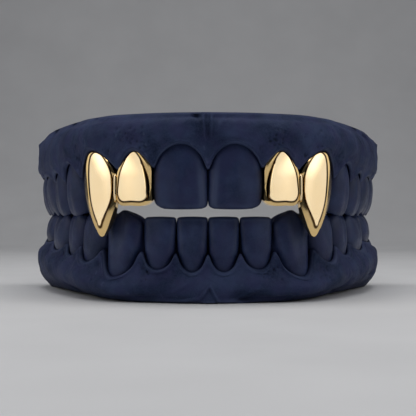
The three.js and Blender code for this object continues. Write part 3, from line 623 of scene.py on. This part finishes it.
def gumSections(jaw, distance):
    at = gumTable(jaw, distance)
    way = np.minimum(1, np.abs(distance) / jaw["length"])
    ridge = mix(*gumShape["ridge"], way)
    base = jaw["height"] - np.interp(way, gumShape["leanAt"], jaw["baseDrop"])
    edge, face, tooth = at["edge"], at["face"], at["tooth"]
    leaned = np.interp(way, gumShape["leanAt"], jaw["lean"])    # how far the wall leans in up to the base
    body = at["front"] + np.interp(way, gumShape["leanAt"], jaw["bulge"])
    level = np.maximum(at["level"], edge)
    full = body - gumShape["hollow"] * at["drop"]
    shoulderOut = mix(at["front"] * 0.92 + 0.45 + jaw["lip"] * (1 - way), body, mix(0.42, 0.65, way))
    shoulderUp = mix(level, base, mix(0.21, 0.16, way))
    backEdge = mix(at["papilla"], edge, gumShape["innerEdge"])
    backFace, lipFace = at["back"], at["lipFace"]
    lip = jaw["lip"] * (1 - 0.7 * way) * mix(0.45, 1, at["open"])
    roll = jaw["roll"] * (1 - 0.9 * way) * at["open"]
    valley = jaw["valley"] * mix(0.3, 1, at["open"])
    sulcus, root = gumShape["sulcus"] * tooth, gumShape["root"] * tooth
    lipOut, lipUp = lipFace + gumShape["lipOut"] + gumShape["lipSwell"] * lip, edge + gumShape["lipUp"]
    cornerRound = gumShape["cornerRound"]
    # how far out from the arch line, how high, and how freely the surface is lumpy, from the socket outwards
    rows = [
        (face - 0.12 - 0.5 * tooth, edge + root + 0.02, 0),
        (mix(face, lipFace, 0.4) - 0.08, edge + sulcus + 0.03, 0),
        (lipFace + 0.08, edge - 0.02, 0),
        (lipFace + 0.10 + lip, edge + 0.08, 0.2),
        (lipOut + roll * (1 - at["drop"]), lipUp, 0.5),
        (mix(lipOut, shoulderOut, 0.5) - valley * at["drop"], mix(lipUp, shoulderUp, 0.52), 1),
        (shoulderOut, shoulderUp, 1),
        (full, mix(level, base, 0.47), 1),
        (mix(full, body, 0.6) - 0.27 * leaned, mix(level, base, 0.74), 1),
        (body - 0.7 * leaned, base - 0.9, 1),
        (body - leaned + cornerRound, base - gumShape["cornerUp"], 0.5),
        (body - leaned - cornerRound, base + 0 * edge, 0.1),
        (-ridge * 0.94, base + 0 * edge, 0),
        (-ridge * 0.965, mix(backEdge, base, 0.75), 0.6),
        (-ridge * 0.96, mix(backEdge, base, 0.4), 0.8),
        (-ridge * 0.89, mix(backEdge, base, 0.1), 0.6),
        (-(backFace + 0.75 + lip), backEdge + 0.22, 0.4),
        (-(backFace + 0.12 + lip), backEdge + 0.02, 0.2),
        (-(backFace + 0.02), backEdge, 0),
        (-(backFace - 0.18), backEdge + sulcus + 0.05, 0),
        (-(backFace - 0.25 - 0.6 * tooth), backEdge + root + 0.05, 0),
        (-(backFace - 0.25) * 0.5, mix(backEdge, edge, 0.5) + root + 0.05, 0),
    ]
    control = np.stack([np.stack(np.broadcast_arrays(*row), axis=-1) for row in rows], axis=1)
    return throughPoints(control, gumShape["counts"], corners=(10, 11, 12)), ridge, backEdge, base


def pitMarks():  # the fine pits, as more rows like those of castMarks
    chance = random.Random(7)
    marks = []
    for name, along, height, reachAlong, reachUp, howMany in pitFields:
        for _ in range(howMany):
            size = chance.uniform(pitSize["least"], pitSize["most"])
            where = along + chance.gauss(0, pitSize["scatter"]) * reachAlong
            level = height + chance.gauss(0, pitSize["scatter"]) * reachUp
            marks.append((name, where, level, size, size * chance.uniform(0.8, 1.3), pitSize["depth"]))
    return marks


def gumRelief(jaw, distance, height):  # roots that show through the gum, marks and ridges of the cast
    along = distance[:, None]
    relief = np.zeros_like(height)
    for tooth in jaw["teeth"]:
        up = (height - tooth["gum"]) / (jaw["height"] - tooth["gum"])
        grown = bell((np.abs(along) - tooth["neck"] - 0.3 * tooth["lean"]) / (0.34 * tooth["width"]))
        relief += tooth["eminence"] * grown * bell((up - 0.25) / 0.42)
    for name, where, level, length, tall, depth in castMarks + pitMarks():
        if name == jaw["name"]:
            off = ((along - where) / length) ** 2 + ((height - level) / tall) ** 2
            relief -= depth * np.exp(-off ** 1.5)
    for name, startAt, startUp, endAt, endUp, half, proud in castRidges:
        if name == jaw["name"]:
            way = np.array([endAt - startAt, endUp - startUp])
            share = ((along - startAt) * way[0] + (height - startUp) * way[1]) / (way @ way)
            held = np.clip(share, 0, 1)
            off = np.hypot(along - startAt - held * way[0], height - startUp - held * way[1])
            relief += proud * bell(off / half) * np.sin(math.pi * np.clip(0.12 + 0.8 * held, 0, 1))
    return relief


def gridNormals(grid):
    alongWay = np.gradient(grid, axis=0)
    roundWay = np.roll(grid, -1, axis=1) - np.roll(grid, 1, axis=1)
    normal = np.cross(alongWay, roundWay)
    return normal / (np.linalg.norm(normal, axis=-1, keepdims=True) + 1e-12)


def keptInside(values, low, high, ease):  # bends values in before they reach a limit
    over, under = values - (high - ease), (low + ease) - values
    values = np.where(over > 0, high - ease * np.exp(-np.maximum(over, 0) / ease), values)
    return np.where(under > 0, low + ease * np.exp(-np.maximum(under, 0) / ease), values)


def castNoise(points, layers, seed):  # lumps of some sizes, in mm
    total = np.zeros(len(points))
    for size, depth in layers:
        scaled = points * (1000 / size) + seed
        total += depth * np.array([noise.noise(Vector(p)) for p in scaled])
    return total


castLumps = [(7, 0.24), (2.6, 0.12), (1.0, 0.045), (0.4, 0.014)]   # size and depth in mm
# lines painted lighter, partly rubbed wear and partly painted highlight where the lip's crest catches the
# light: steps past the lip's crest, reaches in steps, strengths, and the size in mm of the patches that break
# them up
wearAndHighlightLines = {"lipAfter": 2.2, "lipReach": 2.0, "lip": 1.0, "cornerReach": 1.5, "corner": 0.5, "patch": 3.0}


def gumPiece(jaw, seed):
    heel, length, step = gumShape["heel"], jaw["length"], gumShape["step"]
    half = np.arange(0, length, step)
    heelRound, mostShrink, endSteps = gumShape["heelRound"], gumShape["heelShrink"], gumShape["endSteps"]
    reach = np.sin(np.linspace(0, math.pi / 2, gumShape["heelSteps"]))[1:]
    heelRun = length + reach * heel
    heelShrink = mostShrink * (1 - np.sqrt(1 - heelRound * reach ** 2)) / (1 - math.sqrt(1 - heelRound))
    endShrink = np.linspace(mostShrink, gumShape["endShrink"], endSteps + 1)[1:]
    endRun = length + heel + gumShape["endSwell"] * np.sin(np.linspace(0, math.pi / 2, endSteps))
    run = np.concatenate([half, heelRun, endRun])
    shrink = np.concatenate([0 * half, heelShrink, endShrink])
    distance = np.concatenate([-run[::-1], run[1:]])
    shrink = np.concatenate([shrink[::-1], shrink[1:]])[:, None]
    section, ridge, backEdge, base = gumSections(jaw, distance)
    out, height, loose = section[..., 0], section[..., 1], section[..., 2]
    isOuter = (np.arange(out.shape[1]) < sum(gumShape["counts"][:gumShape["outerRows"]]))[None]
    relief = gumRelief(jaw, distance, height) * np.where(isOuter, np.clip(1.6 * loose, 0, 1), 0)
    out = out + relief
    middleOut = (-ridge * 0.42)[:, None]
    middleUp = mix(backEdge, jaw["height"], 0.55)[:, None]
    isBase = height > base[:, None] - 1e-6
    out = mix(out, middleOut, shrink)
    height = np.where(isBase, height, mix(height, middleUp, shrink))
    x, y, turn = onArch(jaw, distance)
    x, y, turn = x[:, None], y[:, None], turn[:, None]
    grid = inFrame(jaw, x + np.sin(turn) * out, y - np.cos(turn) * out, height)
    flat = grid.reshape(-1, 3)
    bumps = castNoise(flat, castLumps, seed).reshape(out.shape)
    normals = gridNormals(grid)
    grid = grid + normals * (bumps * np.clip(loose, 0.12, 1) * np.where(isBase, 0, 1) * mm)[..., None]
    for axis in (0, 1):
        grid[..., axis] = keptInside(grid[..., axis], cadLow[axis], cadHigh[axis], gumShape["boxEase"])
    bite, flatBase = biteHeight * mm, (biteHeight + jaw["up"] * jaw["height"]) * mm
    grid[..., 2] = np.clip(grid[..., 2], min(bite, flatBase), max(bite, flatBase))
    rows, columns = grid.shape[:2]
    points = np.concatenate([grid.reshape(-1, 3), grid[:1].mean(axis=1), grid[-1:].mean(axis=1)])
    faces = ringFaces(rows, columns, rows * columns, rows * columns + 1)
    gum = makePiece(jaw["name"] + "_gum_cast", points, faces, gumResin, gumShape["sharpOver"])
    around = np.arange(columns)
    crest, corner = sum(gumShape["counts"][:3]), sum(gumShape["counts"][:10])
    # lighter lines along the lip's crest and the base corner: partly rubbed wear, partly painted highlight
    line = wearAndHighlightLines["lip"] * bell((around - crest - wearAndHighlightLines["lipAfter"]) / wearAndHighlightLines["lipReach"])
    line = line + wearAndHighlightLines["corner"] * bell((around - corner) / wearAndHighlightLines["cornerReach"])
    patchy = 0.65 + 0.7 * castNoise(points, [(wearAndHighlightLines["patch"], 1)], seed + 5)
    rubbedAndHighlight = np.concatenate([np.tile(line, rows), [0, 0]]) * np.clip(patchy, 0, 1.2)
    gum.data.attributes.new("rubbedAndHighlight", "FLOAT", "POINT").data.foreach_set("value", rubbedAndHighlight)
    return gum


for jaw, seed in ((upperJaw, 3.7), (lowerJaw, 11.3)):
    gum = gumPiece(jaw, seed)
    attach(gum, "root")
    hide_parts(jaw["name"] + "_gum")
    print(gum.name, len(gum.data.polygons), "faces")

# gold caps. Outlines go round from the top over the far side, the edge and the near side.
# face: each point of the raised plate (across the arch and height in mm), the point of the cap's rim
# outside it, how far that rim lies behind the plate, and where and how deep the groove between them is.
# wall and back: points of the tooth's own frame, away from the midline, back and height.
faceColumns = ("x", "up", "rimX", "rimUp", "rimBehind", "groove", "grooveBehind")
lateralCap = {
    "tooth": "lateral",
    "plate": {"x": 12.0, "y": -1.2, "level": 6.0, "turn": 24, "bow": 0.016,
              "crownAbove": 0.024, "crownBelow": 0.001},
    "middle": (12.1, 5.6),
    "face": [
        (11.85, 10.10, 11.90, 10.30, 0.25, 0.45, 0.18),
        (12.70, 9.50, 13.05, 9.55, 0.28, 0.35, 0.22),
        (13.40, 8.30, 13.85, 8.35, 0.32, 0.30, 0.24),
        (14.00, 6.75, 14.50, 6.90, 0.32, 0.30, 0.24),
        (14.30, 4.80, 14.75, 4.80, 0.34, 0.35, 0.26),
        (14.35, 3.20, 14.80, 3.05, 0.36, 0.35, 0.28),
        (14.05, 2.50, 14.45, 1.95, 0.60, 0.28, 0.30),
        (12.20, 2.27, 12.25, 1.50, 0.60, 0.22, 0.30),
        (10.15, 2.45, 9.75, 1.68, 0.68, 0.26, 0.42),
        (9.85, 2.80, 9.05, 2.10, 0.80, 0.36, 0.66),
        (9.85, 3.75, 8.98, 3.80, 0.90, 0.46, 0.93),
        (10.10, 5.70, 8.98, 5.70, 0.84, 0.44, 0.87),
        (10.50, 7.65, 9.02, 7.35, 0.55, 0.26, 0.53),
        (11.05, 9.35, 10.20, 9.25, 0.27, 0.15, 0.20),
    ],
    "wall": [(-0.3, -1.0, 10.1), (1.2, -1.1, 9.2), (2.2, -0.9, 7.7), (2.9, -0.6, 6.7),
             (3.15, -0.3, 5.0), (3.15, -0.2, 3.2), (2.7, -0.3, 1.8), (0.0, -0.6, 1.55),
             (-2.85, -0.3, 1.8), (-3.1, -0.1, 2.1), (-3.15, 0.0, 3.8), (-3.15, 0.0, 5.7),
             (-3.05, -0.2, 6.9), (-1.9, -0.8, 9.1)],
    "back": [(0.0, 4.1, 7.9), (1.0, 3.9, 7.7), (1.9, 3.4, 7.0), (2.3, 2.9, 6.3), (2.4, 2.4, 5.0),
             (2.5, 1.6, 3.2), (2.2, 1.0, 2.1), (0.0, 1.0, 1.75), (-2.3, 1.0, 2.1), (-2.6, 1.5, 2.6),
             (-2.6, 2.0, 4.0), (-2.5, 2.6, 5.4), (-2.3, 3.0, 6.3), (-1.2, 3.8, 7.6)],
    "backMiddle": (0.0, 3.5, 4.9),
}
fangCap = {
    "tooth": "canine",
    "plate": {"x": 17.4, "y": 1.45, "level": 5.5, "turn": 27, "bow": 0.03,
              "crownAbove": 0.022, "crownBelow": 0.001},
    "middle": (17.5, 5.2),
    "face": [
        (18.45, 10.10, 18.60, 10.30, 0.25, 0.50, 0.18),
        (18.95, 9.65, 19.40, 9.95, 0.30, 0.35, 0.22),
        (19.20, 8.80, 19.80, 8.90, 0.35, 0.30, 0.24),
        (19.30, 7.25, 19.95, 7.40, 0.38, 0.30, 0.26),
        (19.25, 4.85, 19.85, 4.90, 0.40, 0.32, 0.26),
        (18.95, 2.35, 19.50, 2.00, 0.40, 0.32, 0.26),
        (18.40, 0.25, 18.85, -0.65, 0.40, 0.25, 0.26),
        (17.95, -0.90, 18.15, -2.25, 0.42, 0.22, 0.28),
        (17.55, -1.70, 17.10, -3.50, 0.45, 0.22, 0.32),
        (17.15, -0.85, 16.30, -2.35, 0.45, 0.21, 0.32),
        (16.70, 0.10, 15.80, -1.00, 0.50, 0.16, 0.32),
        (16.20, 1.20, 15.30, 0.40, 0.60, 0.14, 0.36),
        (15.75, 2.55, 14.80, 1.85, 0.80, 0.20, 0.50),
        (15.60, 5.00, 15.00, 4.55, 1.00, 0.35, 0.80),
        (15.90, 7.25, 15.10, 6.85, 0.48, 0.20, 0.30),
        (16.65, 8.75, 15.80, 8.15, 0.38, 0.12, 0.26),
        (17.65, 9.90, 17.25, 9.75, 0.28, 0.12, 0.18),
    ],
    "wall": [(-0.3, -1.5, 10.2), (1.5, -1.7, 9.7), (2.5, -1.5, 8.9), (2.95, -1.4, 7.4),
             (3.0, -1.5, 4.9), (2.1, -1.7, 2.1), (0.8, -1.5, -0.7), (-0.1, -1.2, -2.2),
             (-1.4, -0.8, -3.4), (-2.2, -0.35, -2.3), (-2.8, 0.05, -0.9), (-3.4, 0.2, 0.5),
             (-3.7, 0.35, 1.9), (-3.6, 0.1, 4.5), (-3.5, -0.1, 6.5), (-2.8, -0.9, 8.0),
             (-1.5, -1.6, 9.6)],
    "back": [(0.0, 4.4, 7.4), (1.2, 4.2, 7.1), (2.0, 3.8, 6.5), (2.4, 3.2, 5.5), (2.5, 2.5, 4.3),
             (1.9, 1.0, 2.1), (0.7, -0.2, 0.3), (-0.1, -0.45, -1.3), (-1.0, -0.6, -2.6),
             (-1.2, -0.5, -1.8), (-1.4, -0.4, -0.6), (-1.9, -0.1, 0.7), (-2.3, 0.8, 2.2),
             (-2.5, 1.9, 4.1), (-2.4, 2.9, 5.6), (-1.9, 3.6, 6.6), (-0.9, 4.2, 7.2)],
    "backMiddle": (-0.2, 2.9, 3.6),
}
bridgeBar = {"x": 14.86, "y": 1.08, "across": 0.42, "deep": 0.8, "bottom": 2.05, "top": 6.85,
             "around": 28, "levels": 25, "bow": 0.05}
capGrid = {"perPoint": 10, "plateRings": 14, "edgeWidth": 0.06, "edgeDepth": 0.05, "grooveShadeWidth": 0.15,
           "grooveShadeShares": (0.45, 0.7, 0.95), "bevelFrom": 0.03, "bevelOver": 0.12, "fit": 0.12,
           "sharpOver": 32}


def plateDepth(plate, x, height):
    away, above = x - plate["x"], height - plate["level"]
    crown = np.where(above > 0, plate["crownAbove"], plate["crownBelow"])
    slope = math.tan(math.radians(plate["turn"]))
    return plate["y"] + slope * away + crown * above ** 2 + plate["bow"] * away ** 2


def capStack(cap):
    tooth = next(t for t in upperJaw["teeth"] if t["name"] == cap["tooth"])
    placeX, placeY, turn = onArch(upperJaw, tooth["centre"])
    face = dict(zip(faceColumns, np.array(cap["face"], float).T))

    def fromTooth(points):
        x, y, up = np.array(points, float).T
        return np.stack([placeX + math.cos(turn) * x - math.sin(turn) * y,
                         placeY + math.sin(turn) * x + math.cos(turn) * y, up], axis=-1)

    def onFace(x, up, behind):
        return np.stack([x, plateDepth(cap["plate"], x, up) + behind, up], axis=-1)

    loop = lambda points: throughPoints(points, capGrid["perPoint"], closed=True)
    outline = loop(np.stack([face["x"], face["up"]], axis=-1))
    middle = np.array(cap["middle"])
    inset = 1 - capGrid["edgeWidth"] / np.linalg.norm(outline - middle, axis=-1, keepdims=True)
    shares = np.sin(np.linspace(0, math.pi / 2, capGrid["plateRings"] + 1))[1:, None, None]
    flat = middle + (outline - middle)[None] * inset * shares
    rings = onFace(flat[..., 0], flat[..., 1], 0)
    edge = onFace(outline[:, 0], outline[:, 1], capGrid["edgeDepth"])
    grooveX = mix(face["x"], face["rimX"], face["groove"])
    grooveUp = mix(face["up"], face["rimUp"], face["groove"])
    groove = loop(onFace(grooveX, grooveUp, face["grooveBehind"]))
    rim = loop(onFace(face["rimX"], face["rimUp"], face["rimBehind"]))
    wall, back = loop(fromTooth(cap["wall"])), loop(fromTooth(cap["back"]))
    crest = mix(groove, rim, 0.45) + np.array([0, -0.03, 0])
    backMiddle = fromTooth([cap["backMiddle"]])[0]
    innerBack = mix(back, backMiddle, 0.45) + (backMiddle - back.mean(axis=0)) * 0.25
    control = np.stack([rings[-1], edge, groove, crest, rim, wall, back, innerBack,
                        np.broadcast_to(backMiddle, back.shape)], axis=1)
    rows = throughPoints(control, [2, 3, 3, 3, 6, 8, 5, 5], corners=(2, 4))
    body = np.moveaxis(rows, 0, 1)
    grid = np.concatenate([rings, body[1:-1]])
    # lines between the plate's edge and the groove, where the gold gets painted shade
    shadedGrooveLines = np.concatenate([mix(edge, groove, share) for share in capGrid["grooveShadeShares"]])
    return grid, onFace(*middle, 0), backMiddle, shadedGrooveLines


def markBevels(cap, side):  # marks the vertices that lie behind the plates, where the material paints a darker, more orange gold as painted shade
    points = np.array([vertex.co for vertex in cap.data.vertices]) / mm
    x, y, height = side * points[:, 0], points[:, 1] - archFront, points[:, 2] - biteHeight
    fangY, lateralY = (plateDepth(part["plate"], x, height) for part in (fangCap, lateralCap))
    plateY = np.where(x > bridgeBar["x"], fangY, lateralY)
    mark = cap.data.attributes.new("bevelShade", "FLOAT", "POINT")
    mark.data.foreach_set("value", ramp(y - plateY - capGrid["bevelFrom"], capGrid["bevelOver"]))


def shadeGrooves(cap, lines, side, width):  # marks the vertices near the grooves, where the material paints shade
    points = inFrame(upperJaw, side * lines[:, 0], lines[:, 1], lines[:, 2])
    tree = KDTree(len(points))
    for i, point in enumerate(points):
        tree.insert(point, i)
    tree.balance()
    near = np.array([tree.find(vertex.co)[2] for vertex in cap.data.vertices])
    mark = cap.data.attributes.new("groove", "FLOAT", "POINT")
    mark.data.foreach_set("value", bell(near / (width * mm)))


def solidFromStack(name, grid, start, end, side):
    rows, columns = grid.shape[:2]
    points = np.concatenate([grid.reshape(-1, 3), [start, end]])
    points = inFrame(upperJaw, side * points[:, 0], points[:, 1], points[:, 2])
    faces = ringFaces(rows, columns, rows * columns, rows * columns + 1)
    return makePiece(name, points, faces, polishedGold)


def barSolid(name, bar, side):
    angle = np.arange(bar["around"]) * 2 * math.pi / bar["around"]
    level = np.linspace(-1, 1, bar["levels"])
    swell = (1 - np.abs(level) ** 6 * 0.98) ** 0.5
    up = mix(bar["bottom"], bar["top"], (level + 1) / 2)
    x = bar["x"] + bar["across"] * swell[:, None] * np.cos(angle) + bar["bow"] * (1 - level[:, None] ** 2)
    y = bar["y"] + bar["deep"] * swell[:, None] * np.sin(angle)
    grid = np.stack(np.broadcast_arrays(x, y, up[:, None]), axis=-1)
    return solidFromStack(name, grid, grid[0].mean(axis=0), grid[-1].mean(axis=0), side)


def joinSolids(target, other, operation):
    change = target.modifiers.new(operation.lower(), "BOOLEAN")
    change.operation, change.solver, change.object = operation, "MANIFOLD", other
    made = bpy.data.meshes.new_from_object(target.evaluated_get(bpy.context.evaluated_depsgraph_get()))
    target.modifiers.clear()
    target.data = made
    bpy.data.objects.remove(other)


for side, sideName in ((1, "right"), (-1, "left")):
    node = "fang_cap_" + sideName
    fang, lateral = capStack(fangCap), capStack(lateralCap)
    cap = solidFromStack(node + "_shell", *fang[:3], side)
    joinSolids(cap, solidFromStack("lateralPart", *lateral[:3], side), "UNION")
    joinSolids(cap, barSolid("bridgePart", bridgeBar, side), "UNION")
    for tooth in upperJaw["teeth"]:
        if tooth["name"] in ("lateral", "canine"):
            inside = toothPiece(upperJaw, tooth, side, "inside", capGrid["fit"], polishedGold)
            joinSolids(cap, inside, "DIFFERENCE")
    shade(cap.data, capGrid["sharpOver"])
    shadeGrooves(cap, np.concatenate([fang[3], lateral[3]]), side, capGrid["grooveShadeWidth"])
    markBevels(cap, side)
    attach(cap, "root")
    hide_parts(node)
    print(cap.name, len(cap.data.polygons), "faces")

# floor that turns up into a backdrop, and soft lights
studio = {"floorFront": -0.6, "floorBack": 0.22, "bend": 0.2, "bendSteps": 16,
          "wallTop": 0.6, "halfWidth": 0.4,
          "rough": 0.9, "shade": (0.64, 0.64, 0.65), "paper": (0.68, 0.68, 0.69),
          "air": (0.55, 0.6, 0.7, 1), "airStrength": 0.06, "aim": (0, -0.015, 0.015)}
# softboxes: name, azimuth from the front, elevation, distance, size, roll, strength and how soft the edges
# are. The side ones stand on both sides, mirrored
sidePanels = [
    ("Wide", 70, 12, 0.30, (0.38, 0.5), 0, 0.84, 0.14),
    ("Bright", 67, 22, 0.28, (0.08, 0.30), -40, 1.1, 0.45),
    ("Edge", 108, 30, 0.26, (0.14, 0.3), 0, 0.42, 0.2),
]
middlePanels = [
    ("topPanel", 0, 94, 0.32, (0.34, 0.14), 0, 4.4, 0.2),
    ("frontPanel", 0, 52, 0.4, (0.3, 0.16), 0, 3.4, 0.2),
]


def makeBackdrop():
    back, bend, steps = studio["floorBack"], studio["bend"], studio["bendSteps"]
    profile = [(studio["floorFront"], 0.0), (back, 0.0)]
    for k in range(1, steps + 1):
        angle = k / steps * math.pi / 2
        profile.append((back + bend * math.sin(angle), bend * (1 - math.cos(angle))))
    profile.append((back + bend, studio["wallTop"]))
    points = [(side * studio["halfWidth"], y, z) for y, z in profile for side in (-1, 1)]
    faces = [[2 * k, 2 * k + 1, 2 * k + 3, 2 * k + 2] for k in range(len(profile) - 1)]
    mesh = bpy.data.meshes.new("paleFloor")
    mesh.from_pydata(points, [], faces)
    material, nodes, links, surface, place = startMaterial("palePaper")
    surface.inputs["Roughness"].default_value = studio["rough"]
    grainShare = spread(nodes, links, cloud(nodes, links, place, 40, 2), 0.3, 0.7, 0, 1)
    colour = blendColours(nodes, links, grainShare, studio["shade"], studio["paper"])
    links.new(colour, surface.inputs["Base Color"])
    mesh.materials.append(material)
    floor = bpy.data.objects.new("paleFloor", mesh)
    bpy.context.scene.collection.objects.link(floor)
    shade(mesh)


def addPanel(name, azimuth, elevation, distance, size, roll, strength, soft):
    # softbox that faces the model, azimuth counted from the front, brightest away from its edges
    data = bpy.data.lights.new(name, "AREA")
    data.shape, data.size, data.size_y = "RECTANGLE", size[0], size[1]
    data.energy = strength * math.pi * size[0] * size[1]
    data.use_nodes = True
    nodes, links = data.node_tree.nodes, data.node_tree.links
    split = nodes.new("ShaderNodeSeparateXYZ")
    links.new(nodes.new("ShaderNodeNewGeometry").outputs["Parametric"], split.inputs[0])
    fall = None
    for axis in (0, 1):
        centred = nodes.new("ShaderNodeMath")
        centred.operation = "SUBTRACT"
        links.new(split.outputs[axis], centred.inputs[0])
        centred.inputs[1].default_value = 0.5
        away = nodes.new("ShaderNodeMath")
        away.operation = "ABSOLUTE"
        links.new(centred.outputs[0], away.inputs[0])
        ease = nodes.new("ShaderNodeMapRange")
        ease.interpolation_type = "SMOOTHSTEP"
        ease.inputs["From Min"].default_value, ease.inputs["From Max"].default_value = 0.5 - soft, 0.5
        ease.inputs["To Min"].default_value, ease.inputs["To Max"].default_value = 1, 0
        links.new(away.outputs[0], ease.inputs["Value"])
        if fall is None:
            fall = ease.outputs["Result"]
        else:
            both = nodes.new("ShaderNodeMath")
            both.operation = "MULTIPLY"
            links.new(fall, both.inputs[0])
            links.new(ease.outputs["Result"], both.inputs[1])
            links.new(both.outputs[0], nodes["Emission"].inputs["Strength"])
    a, e = math.radians(azimuth), math.radians(elevation)
    way = Vector((math.sin(a) * math.cos(e), -math.cos(a) * math.cos(e), math.sin(e)))
    light = bpy.data.objects.new(name, data)
    light.location = Vector(studio["aim"]) + way * distance
    turn = way.to_track_quat("Z", "Y").to_matrix()
    spin = Matrix.Rotation(math.radians(roll), 3, "Z")
    light.rotation_euler = (turn @ spin).to_euler()
    bpy.context.scene.collection.objects.link(light)


makeBackdrop()
for side, sideName in ((-1, "left"), (1, "right")):
    for name, azimuth, elevation, distance, size, roll, strength, soft in sidePanels:
        addPanel(sideName + name, azimuth * side, elevation, distance, size, roll * side, strength, soft)
for panel in middlePanels:
    addPanel(*panel)
world = bpy.data.worlds.new("studioAir")
world.use_nodes = True
world.node_tree.nodes["Background"].inputs["Color"].default_value = studio["air"]
world.node_tree.nodes["Background"].inputs["Strength"].default_value = studio["airStrength"]
bpy.context.scene.world = world
bpy.context.scene.view_settings.view_transform = "Standard"
print("studio made")
